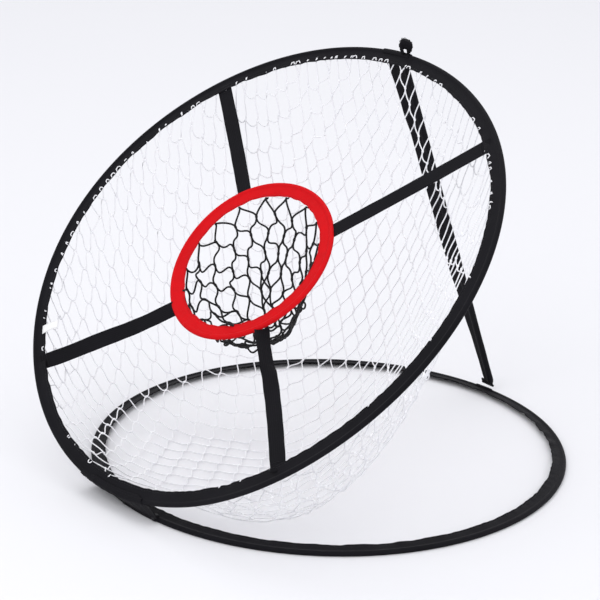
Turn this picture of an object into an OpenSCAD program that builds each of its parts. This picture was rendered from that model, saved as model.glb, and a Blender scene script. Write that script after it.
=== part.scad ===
// Pop-up golf chipping net: a flat base hoop, a tilted catch hoop sewn to its front,
// a rod sleeve that props the catch hoop from the back of the base, a strapped target
// ring with its own pocket, and a net bag. Units are millimetres, +Z is up, and the
// origin is on the ground under the base hoop's wire, at the middle of its front.
// -Y is the player's side and +X is the player's right.
// In names, _r is a radius, _w a width, _h a height and _t a thickness.

/* [Base hoop] */
// outer radius of the bound base hoop
base_r = 280; // [240:1:320]
// rise of the inward flap of the base binding, degrees
base_flap_rise = 16; // [0:1:25]

/* [Catch hoop] */
// mean outer radius of the bound catch hoop
hoop_r = 306; // [265:1:350]
// lean of the catch hoop from the ground, degrees
hoop_tilt = 47.5; // [44:0.5:52]
// half the forward bow of the two sides as a share of the radius
bow = 0.066; // [0:0.002:0.08]
// half the extra bow at the top and low on each side as a share of the radius
low_bow = 0.010; // [0:0.002:0.015]
// shortening up the lean and widening across it as a share of the radius
squat = 0.018; // [0:0.002:0.03]
// diagonal pull of the spring hoop as a share of the radius
skew = 0.036; // [0:0.002:0.05]
// three-lobed part of that pull as a share of the radius
skew_third = 0.022; // [0:0.002:0.03]
// forward rise of the flap of the catch hoop binding, degrees
hoop_flap_rise = 15; // [0:1:20]

/* [Binding and wire] */
// width of the folded binding tape over the wire
tape_w = 17; // [14:0.5:20]
// radius of the spring wire
wire_r = 1.7; // [1.4:0.1:2]
// inside radius of the fold that carries the wire
fold_in = 2.3; // [2.2:0.05:2.4]
// outside radius of that fold
fold_out = 3.1; // [3:0.05:3.3]

/* [Target] */
// outer radius of the target ring
ring_r = 106; // [95:1:118]
// width of the target ring binding
ring_w = 18; // [14:0.5:20]
// width of the cross straps
strap_w = 18; // [14:1:22]
// thickness of the cross straps
strap_t = 1.6; // [1:0.1:2]

/* [Support] */
// radius of the support rod
rod_r = 2.5; // [2:0.1:2.8]
// width of the support sleeve
prop_w = 23; // [18:1:26]

/* [Hidden] */
$fn = 64;

binding_black = [0.1, 0.1, 0.11];
patch_black = [0.13, 0.13, 0.14];

tape_t = 0.85;
tape_gap = 0.3; // between the two layers of a flap
flap_w = tape_w - fold_out; // from the wire's centre to the flap's edge
ferrule_r = 2.15;
ferrule_play = 0.03;
net_t = 0.8;

// ---- sections ----
function polar(r, a) = r*[cos(a), sin(a)];

// turns a section point so that the inward (-x) side rises
function raise(p, rise) = [p[0]*cos(rise) + p[1]*sin(rise), -p[0]*sin(rise) + p[1]*cos(rise)];

// tape folded round a wire at the section's origin, with its flap towards -x;
// nothing goes below floor_y
function tape(width, r_in, r_out, rise = 0, floor_y = -99, arc_step = 25) =
  let (
    edge = -(width - r_out),
    mouth_out = -r_out*1.45,
    mouth_in = -r_in*1.75,
    inside = tape_gap/2,
    outside = inside + tape_t,
    points = concat(
      [[edge, outside], [mouth_out, outside]],
      [for (a = [150:-arc_step:-150]) polar(r_out, a)],
      [[mouth_out, -outside], [edge, -outside], [edge, -inside], [mouth_in, -inside]],
      [for (a = [-150:37.5:150]) polar(r_in, a)],
      [[mouth_in, inside], [edge, inside]])
  )
  [for (p = points) let (q = raise(p, rise)) [q[0], max(q[1], floor_y)]];

// open arc band: outer points first, inner points back
function arc_band(from, step, to, r_in, r_out) = concat(
  [for (a = [from:step:to]) polar(r_out, a)],
  [for (a = [to:-step:from]) polar(r_in, a)]);

module ferrule_section(outer_r, inner_r) difference() {
  circle(r = outer_r);
  circle(r = inner_r + ferrule_play);
}

// joins rings of points into a solid; loop joins the last ring to the first, otherwise
// the rings must be arc bands, and their two ends are capped
module sweep(rings, loop = false) {
  count = len(rings);
  n = len(rings[0]);
  last = loop ? count - 1 : count - 2;
  sides = [for (i = [0:last]) for (j = [0:n - 1])
    let (
      next = (i + 1)%count,
      a = i*n + j,
      b = i*n + (j + 1)%n,
      c = next*n + (j + 1)%n,
      d = next*n + j
    )
    each [[a, b, c], [a, c, d]]];
  end = (count - 1)*n;
  caps = loop ? [] : [for (j = [0:n/2 - 2])
    let (k = n - 2 - j) // inner point across from j + 1
    each [[j + 1, j, k], [k, j, k + 1],
      [end + j, end + j + 1, end + k], [end + j, end + k, end + k + 1]]];
  polyhedron(points = [for (r = rings) each r], faces = concat(sides, caps), convexity = 10);
}

// ---- base body ----
// the fold is pressed flat underneath by this much, to lie on the ground
fold_press = 0.35;
wire_z = fold_out - fold_press;
base_wire_r = base_r - fold_out;
base_y = base_wire_r; // centre of the base hoop

hinge_angle = 13;
hinge_start = 270 - hinge_angle/2;
tack_angle = 0.9;
tack_inset = 0.5; // degrees in from each end of the web
foot_at = 95;
foot_angle = 4.8;

module base_ring() translate([0, base_y, wire_z])
  rotate_extrude() translate([base_wire_r, 0]) children();
module base_arc(start, angle) translate([0, base_y, wire_z]) rotate([0, 0, start])
  rotate_extrude(angle = angle) translate([base_wire_r, 0]) children();

module base_wire() color("silver") base_ring() circle(r = wire_r);
module base_ferrule() color("dimgray") base_arc(200, 4.5) ferrule_section(ferrule_r, wire_r);
module base_sleeve() color(binding_black) base_ring()
  polygon(tape(tape_w, fold_in, fold_out, base_flap_rise, floor_y = -wire_z, arc_step = 12.5));

// a strip lying over the base binding
module base_strip(from, to, lift_in = 0.1, lift_out = 1.0)
  polygon(arc_band(from, -15, to, fold_out + lift_in, fold_out + lift_out));

// sewn strip that joins the two bindings at the front and lets them fold flat
module hinge_web() color(patch_black) base_arc(hinge_start, hinge_angle) base_strip(125, -30);

module hinge_tack(start) color([0.2, 0.2, 0.21]) base_arc(start, tack_angle)
  base_strip(120, -25, lift_in = 1.1, lift_out = 1.9);
module hinge_tack_left() hinge_tack(hinge_start + tack_inset);
module hinge_tack_right() hinge_tack(hinge_start + hinge_angle - tack_inset - tack_angle);

module foot_wrap() color(patch_black) base_arc(foot_at - foot_angle/2, foot_angle)
  base_strip(125, -25);

// ---- catch hoop curve ----
// The catch hoop's frame has its origin on the hoop's lowest outer edge, X across,
// Y up the lean and Z forward. Angles run from the joint up the +X side.
hoop_y = -fold_out - 12.6;
hoop_z = 19.6;
hoop_centre = [0, hoop_r*(1 - squat), 0];
hoop_steps = 90;

module in_hoop_frame() translate([0, hoop_y, hoop_z]) rotate([hoop_tilt, 0, 0]) children();
// the same move for a point
function lean(p) = [p[0],
  hoop_y + p[1]*cos(hoop_tilt) - p[2]*sin(hoop_tilt),
  hoop_z + p[1]*sin(hoop_tilt) + p[2]*cos(hoop_tilt)];

function unit(v) = v/norm(v);
function hoop_wire_r(a) = (hoop_r - fold_out)
  *(1 - squat*cos(2*a) - skew*sin(2*a) - skew_third*sin(3*a));
function hoop_bow(a) = hoop_r*(bow*(1 - cos(2*a)) + low_bow*(1 - cos(3*a)));
// centre of the wire
function hoop_point(a) = hoop_centre
  + [hoop_wire_r(a)*sin(a), -hoop_wire_r(a)*cos(a), hoop_bow(a)];
function tangent(a) = unit(hoop_point(a + 0.5) - hoop_point(a - 0.5));
function outward(a) = let (t = tangent(a), spoke = hoop_point(a) - hoop_centre)
  unit(spoke - (spoke*t)*t);
function facing(a) = let (normal = cross(outward(a), tangent(a)))
  normal[2] < 0 ? -normal : normal;
// a section point (x outward, y forward) set on the hoop at angle a
function on_hoop(a, p) = hoop_point(a) + outward(a)*p[0] + facing(a)*p[1];
function hoop_section(section, a) = [for (p = section) on_hoop(a, p)];
// a point just inside the edge of the hoop's flap
function inside_flap(a, gap, forward = 0) =
  on_hoop(a, raise([-(flap_w + gap), forward], hoop_flap_rise));

module whole_hoop(section)
  sweep([for (i = [0:hoop_steps - 1]) hoop_section(section, i*360/hoop_steps)], loop = true);

// ---- catch hoop body ----
module main_wire() color("silver") in_hoop_frame()
  whole_hoop([for (i = [0:7]) polar(wire_r, i*45)]);

// straight split tube, crimped on a short run of the wire
module main_ferrule() {
  start = 80;
  run = hoop_point(84) - hoop_point(start);
  section = arc_band(20, 40, 340, wire_r + 0.13, ferrule_r);
  color("dimgray") in_hoop_frame()
    sweep([for (t = [0.05, 0.95]) [for (p = section) on_hoop(start, p) + run*t]]);
}

module main_sleeve() color(binding_black) in_hoop_frame()
  whole_hoop(tape(tape_w, fold_in, fold_out, hoop_flap_rise));

// short strips folded over the catch hoop binding, over the prop and at the sewn joint
module hoop_wrap(from, to) {
  section = arc_band(125, -25, -125, fold_out + 0.25, fold_out + 1.1);
  color(patch_black) in_hoop_frame() sweep([for (a = [from:to]) hoop_section(section, a)]);
}
module top_wrap() hoop_wrap(180, 188);
module hinge_patch() hoop_wrap(-4, 4);

module care_label() {
  label_at = 300;
  label = [22, 10, 0.4];
  color("white") in_hoop_frame() translate(inside_flap(label_at, 1.5) + [0, 0, 1.2])
    rotate([0, 0, label_at - 270]) translate([0, -label[1]/2, 0]) cube(label);
}

// ---- target ring ----
ring_centre = [-23.2, 301.5, 22]; // in the catch hoop's frame
// the ring hangs a little out of the plane of the catch hoop, degrees about X and Y
ring_tilt = [-5.8, 1.6];
ring_wire_r = 1.5;
ring_fold_in = 2.1;
ring_fold_out = 2.9;

module in_ring_frame() in_hoop_frame() translate(ring_centre)
  rotate([ring_tilt[0], ring_tilt[1], 0]) children();
// a point of the ring's plane, in the catch hoop's frame
function on_ring(a, r) =
  let (
    x = r*sin(a),
    y = -r*cos(a)*cos(ring_tilt[0]),
    z = -r*cos(a)*sin(ring_tilt[0])
  )
  ring_centre + [x*cos(ring_tilt[1]) + z*sin(ring_tilt[1]), y,
    -x*sin(ring_tilt[1]) + z*cos(ring_tilt[1])];

module ring_section() translate([ring_r - ring_fold_out, 0]) children();
module target_wire() color("silver") in_ring_frame() rotate_extrude()
  ring_section() circle(r = ring_wire_r);
module target_ferrule() color("dimgray") in_ring_frame() rotate([0, 0, 250])
  rotate_extrude(angle = 10) ring_section() ferrule_section(1.95, ring_wire_r);
module target_sleeve() color([0.85, 0.08, 0.1]) in_ring_frame() rotate_extrude()
  ring_section() polygon(tape(ring_w, ring_fold_in, ring_fold_out));

// a flat strap from the target ring out to the flap of the catch hoop
module strap(hoop_angle, ring_angle) {
  start = on_ring(ring_angle, ring_r + 3.4);
  run = inside_flap(hoop_angle, 0.6) - start;
  length = norm(run);
  color([0.12, 0.12, 0.13]) in_hoop_frame() translate(start)
    rotate([0, -asin(run[2]/length), atan2(run[1], run[0])])
    translate([0, -strap_w/2, -strap_t/2]) cube([length - 1.9, strap_w, strap_t]);
}
module strap_front_right() strap(45, 50);
module strap_back_right() strap(139, 133);
module strap_back_left() strap(231, 227);
module strap_front_left() strap(313.5, 329);

// ---- net bags ----
last_row = 0.965; // share of the way to the low point

// a point at a share of the way from the rim to the low point;
// full shapes the bag's width and sink its depth
function bag_point(rim, low, share, full, sink) =
  let (
    wide = pow(cos(90*share), full),
    high = pow(1 - sin(90*share), sink)
  )
  [low[0] + (rim[0] - low[0])*wide, low[1] + (rim[1] - low[1])*wide,
   low[2] + (rim[2] - low[2])*high];

// a hanging bag: rows of points from the rim down, closed at the low point;
// its inner skin is the outer one drawn in towards middle
module bag(rim, low, full, sink, middle, rows) {
  n = len(rim);
  cap = rows - 1;
  outer = [for (i = [0:cap]) for (r = rim) bag_point(r, low, i*last_row/cap, full, sink)];
  function draw_in(p) = p + unit(middle - p)*net_t;
  inner = [for (p = outer) draw_in(p)];
  skin = rows*n; // index of the first inner point
  sides = [for (i = [0:cap - 1]) for (j = [0:n - 1])
    let (
      a = i*n + j,
      b = i*n + (j + 1)%n,
      c = b + n,
      d = a + n
    )
    each [[a, c, b], [a, d, c],
      [skin + a, skin + b, skin + c], [skin + a, skin + c, skin + d]]];
  edges = [for (j = [0:n - 1]) let (k = (j + 1)%n)
    each [[j, k, skin + k], [j, skin + k, skin + j]]];
  tips = [for (j = [0:n - 1]) let (a = cap*n + j, b = cap*n + (j + 1)%n)
    each [[a, 2*skin, b], [skin + a, skin + b, 2*skin + 1]]];
  polyhedron(points = concat(outer, inner, [low, draw_in(low)]),
    faces = concat(sides, edges, tips), convexity = 6);
}

module target_pocket() color([0.15, 0.15, 0.16])
  bag(rim = [for (i = [0:27]) lean(on_ring(i*360/28, ring_r - ring_w - 1.2))],
    low = lean(ring_centre) + [18, 20, -94], full = 0.48, sink = 1.0,
    middle = lean(ring_centre) + [8, 6, -30], rows = 8);
module catch_net() color([0.95, 0.95, 0.97])
  bag(rim = [for (i = [0:44]) lean(inside_flap(i*8, 1.2, -2.3))],
    low = [0, base_y - 150, 3], full = 1.8, sink = 1.15,
    middle = [0, base_y - 160, 300], rows = 11);

// ---- hang loop body ----
// a strip folded over at the top, standing upright above the catch hoop
loop_at = 181.5;
loop_w = 12;
loop_lift = fold_out + 2.8;
loop_h = 13; // up to the centre of the fold
loop_r = 2.3;
loop_foot = 1.3; // half the outside depth at the foot
loop_t = 1;
module hang_loop() color(binding_black) in_hoop_frame() translate(hoop_point(loop_at))
  rotate([90 - hoop_tilt, 0, 0]) translate([-loop_w/2, loop_lift, 0]) rotate([0, 90, 0])
    linear_extrude(height = loop_w) polygon(concat(
      [[-loop_foot, 0]],
      [for (a = [180:-15:0]) [0, loop_h] + polar(loop_r, a)],
      [[loop_foot, 0], [loop_foot - loop_t, 0]],
      [for (a = [0:15:180]) [0, loop_h] + polar(loop_r - loop_t, a)],
      [[loop_t - loop_foot, 0]]));

// ---- prop body ----
// the prop's frame has Z along the rod from the foot pivot and X across
prop_foot = [-18, base_y + base_r + 4, 8];
prop_run = lean(hoop_point(180) - [0, 0, 9.5]) - prop_foot;
prop_len = norm([prop_run[1], prop_run[2]]);
prop_angle = atan2(prop_run[2], prop_run[1]);
sleeve_inset = 6; // at each end
rod_start = 9;
rod_end = prop_len - 7.4;
cap_h = 8;
cap_floor = 1.5;
tab_w = prop_w - 4;
tab_t = 1.4;
pivot_r = 1.4;

module in_prop_frame() translate(prop_foot) rotate([prop_angle - 90, 0, 0]) children();

module prop_rod() color([0.85, 0.83, 0.75]) in_prop_frame() translate([0, 0, rod_start])
  cylinder(r = rod_r, h = rod_end - rod_start);
module prop_sleeve() color(binding_black) in_prop_frame() translate([0, 0, sleeve_inset])
  linear_extrude(height = prop_len - 2*sleeve_inset)
    polygon(tape(prop_w, rod_r + 0.75, rod_r + 1.5));

module rod_cap() difference() {
  cylinder(r = rod_r + 0.5, h = cap_h);
  translate([0, 0, cap_floor]) cylinder(r = rod_r + 0.02, h = cap_h);
}
module prop_cap_bottom() color("black") in_prop_frame() translate([0, 0, 7.4]) rod_cap();
module prop_cap_top() color("black") in_prop_frame() translate([0, 0, prop_len - 5.8])
  rotate([180, 0, 0]) rod_cap();

// sewn end of the sleeve that turns on the foot wrap
module prop_foot_tab() color(patch_black) in_prop_frame() translate([rod_r - tab_w, 0, 0]) {
  rotate([0, 90, 0]) cylinder(r = pivot_r, h = tab_w);
  translate([0, -tab_t/2, 0]) cube([tab_w, tab_t, 5.6]);
}

// sewn end of the sleeve under the top of the catch hoop
module prop_top_tab() color(patch_black) in_prop_frame()
  translate([rod_r - tab_w, -tab_t/2, prop_len - 5.6]) cube([tab_w, tab_t, 5]);

base_wire();
base_ferrule();
base_sleeve();
hinge_web();
hinge_tack_left();
hinge_tack_right();
foot_wrap();
main_wire();
main_ferrule();
main_sleeve();
hinge_patch();
strap_front_right();
strap_back_right();
strap_back_left();
strap_front_left();
target_wire();
target_ferrule();
target_sleeve();
target_pocket();
catch_net();
care_label();
top_wrap();
hang_loop();
prop_rod();
prop_sleeve();
prop_cap_top();
prop_cap_bottom();
prop_foot_tab();
prop_top_tab();
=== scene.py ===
"""A folding catch net, worked out in millimetres and built in metres.

The round base hoop lies on the floor. The catch hoop is hinged to it at the front (-Y) and rises
towards the back (+Y), where a sleeved prop holds up its top. It carries a white net and, on four
straps, a red target ring with a black pocket. +X is the right. Angles round a hoop start at the
front and turn towards the right.
"""
import math

import bmesh
import bpy
import numpy as np
from mathutils import Matrix, Vector


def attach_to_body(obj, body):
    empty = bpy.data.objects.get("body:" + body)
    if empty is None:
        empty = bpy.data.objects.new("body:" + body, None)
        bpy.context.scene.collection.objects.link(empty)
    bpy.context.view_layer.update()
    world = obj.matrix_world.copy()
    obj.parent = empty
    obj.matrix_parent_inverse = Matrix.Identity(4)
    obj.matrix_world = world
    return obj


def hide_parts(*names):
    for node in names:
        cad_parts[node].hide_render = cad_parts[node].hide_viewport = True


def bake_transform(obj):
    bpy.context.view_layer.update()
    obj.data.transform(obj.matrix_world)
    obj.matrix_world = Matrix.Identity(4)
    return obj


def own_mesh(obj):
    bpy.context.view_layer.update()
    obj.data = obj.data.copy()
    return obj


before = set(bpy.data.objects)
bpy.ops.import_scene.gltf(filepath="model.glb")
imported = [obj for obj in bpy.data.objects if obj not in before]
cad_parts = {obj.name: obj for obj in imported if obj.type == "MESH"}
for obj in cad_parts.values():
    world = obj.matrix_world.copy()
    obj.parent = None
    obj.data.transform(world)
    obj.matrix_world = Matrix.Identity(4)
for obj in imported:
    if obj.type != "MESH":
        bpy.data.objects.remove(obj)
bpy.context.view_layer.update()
scene = bpy.context.scene

# ------------------------------------------------------------------ main sizes (mm)
TURN = 2 * np.pi
RIGHT = np.array([1.0, 0, 0])
UP = np.array([0, 0, 1.0])

BASE_R, HOOP_R = 280.0, 306.0  # outsides of the hoops
TILT = math.radians(47.5)  # how far the catch hoop rises from the floor
FOLD = 3.1  # radius of the tape's fold round its wire
TAPE = 17.0  # width of the folded tape
FLAP = TAPE - FOLD  # from the wire to the flap's edge
BASE_WIRE_R, WIRE_R = BASE_R - FOLD, HOOP_R - FOLD
BASE_WIRE_Z = FOLD - 0.35
HOOP_Y, HOOP_Z = -292.6, 19.6  # front edge of the catch hoop
SQUAT, SKEW, SKEW_3 = 0.018, 0.036, 0.022  # how the hoop departs from a circle
BOW, LOW_BOW = 0.066, 0.010  # how it departs from its plane
CENTRE_Y = HOOP_R * (1 - SQUAT)  # from the hoop's front edge to its centre
RISE, BASE_RISE = math.radians(15), math.radians(16)  # slopes of the flaps
HOOP_NORMAL = np.array([0, -math.sin(TILT), math.cos(TILT)])

RING_C = np.array([-23.2, 301.5, 22.0])  # target ring's centre, in the catch hoop's frame
RING_R, RING_TAPE, RING_FOLD = 106.0, 18.0, 2.9
RING_TILT = (math.radians(-5.8), math.radians(1.6))  # about x, then about y

# name, degrees round the catch hoop, degrees round the target ring
STRAPS = [
    ("strap_front_right", 45, 50), ("strap_back_right", 139, 133),
    ("strap_back_left", 231, 227), ("strap_front_left", 313.5, 329)]

# level direction, turned from the front towards the right, that the straps and the hanging loop
# turn to and the camera looks from
SIDE_TURN = math.radians(49.6)
SIDE_X, SIDE_Y = math.sin(SIDE_TURN), -math.cos(SIDE_TURN)

# shapes are worked out from the base hoop's centre, this far behind the frame's origin
OFFSET = np.array([0.0, BASE_WIRE_R, 0.0])
OFFSET_M = OFFSET / 1000

BLACK_STITCH = dict(pitch=4.2, length=3.3, radius=0.24)
RED_STITCH = dict(pitch=3.4, length=2.6, radius=0.2)
STITCH_R = BLACK_STITCH["radius"]


# ------------------------------------------------------------------ curves and frames
def unit(v):
    return v / np.maximum(np.linalg.norm(v, axis=-1, keepdims=True), 1e-9)


def hoop_wire(angle):
    """The catch hoop's wire, in the hoop's own frame, with its front edge at the origin."""
    angle = np.asarray(angle, float)
    r = WIRE_R * (1 - SQUAT * np.cos(2 * angle) - SKEW * np.sin(2 * angle)
                  - SKEW_3 * np.sin(3 * angle))
    z = HOOP_R * (BOW * (1 - np.cos(2 * angle)) + LOW_BOW * (1 - np.cos(3 * angle)))
    return np.stack([r * np.sin(angle), CENTRE_Y - r * np.cos(angle), z], -1)


def hoop_frames(angle):
    """Points on the catch hoop's wire, with their outward and upward directions."""
    step = 0.008
    point = hoop_wire(angle)
    along = unit(hoop_wire(angle + step) - hoop_wire(angle - step))
    out = point - np.array([0, CENTRE_Y, 0])
    out = unit(out - (out * along).sum(-1, keepdims=True) * along)
    up = np.cross(out, along)
    return point, out, np.where(up[..., 2:] < 0, -up, up)


def base_frames(angle):
    """The same for the base hoop."""
    flat = 0 * angle
    out = np.stack([np.sin(angle), -np.cos(angle), flat], -1)
    point = np.stack([BASE_WIRE_R * np.sin(angle), -BASE_WIRE_R * np.cos(angle),
                      flat + BASE_WIRE_Z], -1)
    return point, out, np.tile(UP, (len(angle), 1))


def lean(p, from_y=HOOP_Y, from_z=HOOP_Z):
    """Points from the catch hoop's frame to the base's."""
    p = np.asarray(p, float)
    c, s = math.cos(TILT), math.sin(TILT)
    return np.stack([p[..., 0], from_y + p[..., 1] * c - p[..., 2] * s,
                     from_z + p[..., 1] * s + p[..., 2] * c], -1)


def lean_dir(p):
    return lean(p, 0, 0)


def ring_turn(p):
    """Directions from the target ring's frame to the catch hoop's."""
    p = np.asarray(p, float)
    tx, ty = RING_TILT
    y = p[..., 1] * math.cos(tx) - p[..., 2] * math.sin(tx)
    z = p[..., 1] * math.sin(tx) + p[..., 2] * math.cos(tx)
    return np.stack([p[..., 0] * math.cos(ty) + z * math.sin(ty), y,
                     -p[..., 0] * math.sin(ty) + z * math.cos(ty)], -1)


def on_ring(angle, r, z):
    return RING_C + ring_turn(np.stack([r * np.sin(angle), -r * np.cos(angle), z], -1))


def turn_section(p, angle):
    """Section points turned so that the flap, on the -x side, rises."""
    p = np.asarray(p, float)
    c, s = math.cos(angle), math.sin(angle)
    return np.stack([p[..., 0] * c + p[..., 1] * s, -p[..., 0] * s + p[..., 1] * c], -1)


def on_hoop(angle, offset):
    """Points beside the catch hoop's wire; offset is outward and upward."""
    point, out, up = hoop_frames(np.asarray(angle, float))
    return point + out * offset[..., :1] + up * offset[..., 1:]


def smooth_noise(count, length, wave, seed, closed=True):
    """A repeatable wavy line along a line of the given length, with bumps about wave long."""
    rng = np.random.RandomState(seed)
    s = np.linspace(0, TURN, count, endpoint=not closed)
    waves = length / wave
    out = np.zeros(count)
    for _ in range(9):
        k = max(1, round(waves * rng.uniform(0.45, 1.5)))
        out += rng.uniform(0.5, 1) * np.sin(k * s + rng.uniform(0, 6.28))
    return out / 2.6


def ripples(count, length, *layers):
    """Smooth noise in layers of (size, wave, seed)."""
    return sum(size * smooth_noise(count, length, wave, seed) for size, wave, seed in layers)


def bell(x, width, power=2):
    return np.exp(-(x / width) ** power)


def wrap(degrees):
    return (degrees + 180) % 360 - 180


def ease(x):
    return x * x * (3 - 2 * x)


def distances(points, closed):
    """Length along a line to each point, and back to the first one if it is closed."""
    if closed:
        points = np.concatenate([points, points[:1]])
    steps = np.linalg.norm(np.diff(points, axis=0), axis=1)
    return np.concatenate([[0], np.cumsum(steps)])


# ------------------------------------------------------------------ mesh helpers
def make(name, verts, faces, material, uvs):
    """verts in millimetres; uvs one per face corner, in metres."""
    mesh = bpy.data.meshes.new(name)
    mesh.from_pydata(((np.asarray(verts, float) + OFFSET) / 1000).tolist(), [], faces)
    mesh.validate()
    layer = mesh.uv_layers.new(name="UVMap")
    flat = np.asarray(uvs, np.float32).reshape(-1)
    # validate may drop faces, and then the corners no longer match
    if len(flat) == len(layer.data) * 2:
        layer.data.foreach_set("uv", flat)
    mesh.materials.append(material)
    mesh.polygons.foreach_set("use_smooth", [True] * len(mesh.polygons))
    mesh.update()
    obj = bpy.data.objects.new(name, mesh)
    scene.collection.objects.link(obj)
    return obj


def sweep(name, rings, material, closed=False):
    """rings: n x m x 3 points, each ring a closed section. Open sweeps get end caps."""
    n, m = rings.shape[:2]
    u = distances(rings.mean(1), closed) / 1000
    v = distances(rings[0], True) / 1000
    i, j = np.meshgrid(np.arange(n if closed else n - 1), np.arange(m), indexing="ij")
    i_next, j_next = (i + 1) % n, (j + 1) % m
    faces = np.stack([i * m + j, i * m + j_next, i_next * m + j_next, i_next * m + j], -1)
    faces = faces.reshape(-1, 4).tolist()
    uvs = np.stack([
        np.stack([u[i], v[j]], -1), np.stack([u[i], v[j + 1]], -1),
        np.stack([u[i + 1], v[j + 1]], -1), np.stack([u[i + 1], v[j]], -1)], -2)
    uvs = uvs.reshape(-1, 2).tolist()
    if not closed:
        faces += [list(range(m))[::-1], list(range((n - 1) * m, n * m))]
        uvs += [[0, 0]] * (2 * m)
    obj = make(name, rings.reshape(-1, 3), faces, material, uvs)
    face_outward(obj)
    return obj


def face_outward(obj):
    bm = bmesh.new()
    bm.from_mesh(obj.data)
    bmesh.ops.recalc_face_normals(bm, faces=bm.faces)
    bm.to_mesh(obj.data)
    bm.free()


def side_axes(along, steep_test):
    """Two directions square to along, from a reference kept clear of it."""
    steep = np.abs(steep_test[..., 2:]) > 0.8
    reference = np.where(steep, np.array([1.0, 0.2, 0]), np.array([0.1, 0.2, 1.0]))
    a = unit(np.cross(along, reference))
    return a, np.cross(along, a)


class Cords:
    """Collects cords and knots into one mesh."""

    def __init__(self, sides=5):
        self.verts, self.faces, self.uvs = [], [], []
        self.count, self.sides = 0, sides

    def add(self, paths, radius):
        """paths: one cord of K points, or an array of E such cords."""
        paths = np.asarray(paths, float)
        if paths.ndim == 2:
            paths = paths[None]
        cords, steps = paths.shape[:2]
        if cords == 0:
            return
        along = np.empty_like(paths)
        along[:, 1:-1] = paths[:, 2:] - paths[:, :-2]
        along[:, 0] = paths[:, 1] - paths[:, 0]
        along[:, -1] = paths[:, -1] - paths[:, -2]
        along = unit(along)
        a, b = side_axes(along, along[:, :1])
        sides = self.sides
        angle = (np.arange(sides) * 2 * np.pi / sides)[:, None]
        ring = paths[:, :, None] + radius * (
            a[:, :, None] * np.cos(angle) + b[:, :, None] * np.sin(angle))
        base = self.count + np.arange(cords)[:, None] * steps * sides
        k, s = np.meshgrid(np.arange(steps - 1), np.arange(sides), indexing="ij")
        s_next = (s + 1) % sides
        quads = np.stack([k * sides + s, k * sides + s_next,
                          (k + 1) * sides + s_next, (k + 1) * sides + s], -1)
        quads = quads.reshape(1, -1, 4) + base[:, :, None]
        runs = np.cumsum(np.linalg.norm(np.diff(paths, axis=1), axis=2), axis=1)
        length = np.concatenate([np.zeros((cords, 1)), runs], 1) / 1000
        u = np.stack([length[:, k], length[:, k], length[:, k + 1], length[:, k + 1]], -1)
        v = np.stack([s / sides, (s + 1) / sides, (s + 1) / sides, s / sides], -1)
        v = v * 2 * math.pi * radius / 1000
        self.verts.append(ring.reshape(-1, 3))
        self.faces += quads.reshape(-1, 4).tolist()
        self.uvs += np.stack([u, np.broadcast_to(v, u.shape)], -1).reshape(-1, 2).tolist()
        self.faces += (base + np.arange(sides)[::-1]).tolist()
        self.faces += (base + (steps - 1) * sides + np.arange(sides)).tolist()
        self.uvs += [[0.0, 0.0]] * (2 * cords * sides)
        self.count += cords * steps * sides

    def knots(self, centres, radius, along, stretch):
        """Small balls at the centres, stretched along the given directions."""
        sides, stacks = 6, 4
        polar = (np.arange(1, stacks) / stacks) * np.pi
        turn = np.arange(sides) * 2 * np.pi / sides
        across = np.sin(polar)[:, None]
        ball = np.concatenate([[[0, 0, 1.0]], np.stack([
            (across * np.cos(turn)).ravel(), (across * np.sin(turn)).ravel(),
            np.repeat(np.cos(polar), sides)], -1), [[0, 0, -1.0]]])
        along = unit(along)
        a, b = side_axes(along, along)
        verts = centres[:, None] + radius * (
            a[:, None] * ball[:, :1] + b[:, None] * ball[:, 1:2]
            + along[:, None] * ball[:, 2:] * stretch)
        size = len(ball)
        faces = []
        for j in range(sides):
            near, far = 1 + j, 1 + (j + 1) % sides
            faces.append([near, far, 0])
            for i in range(stacks - 2):
                row = i * sides
                faces.append([row + sides + near, row + sides + far, row + far, row + near])
            last = (stacks - 2) * sides
            faces.append([last + far, last + near, size - 1])
        for k in range(len(centres)):
            start = self.count + k * size
            for face in faces:
                self.faces.append([start + x for x in face])
                self.uvs += [[0.0, 0.0]] * len(face)
        self.verts.append(verts.reshape(-1, 3))
        self.count += len(centres) * size

    def build(self, name, material):
        return make(name, np.concatenate(self.verts), self.faces, material, self.uvs)


def attach(obj, part, replaces=None):
    """The object rides on a part and may stand in for a CAD piece."""
    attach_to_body(obj, part)
    if replaces:
        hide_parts(replaces)


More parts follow.
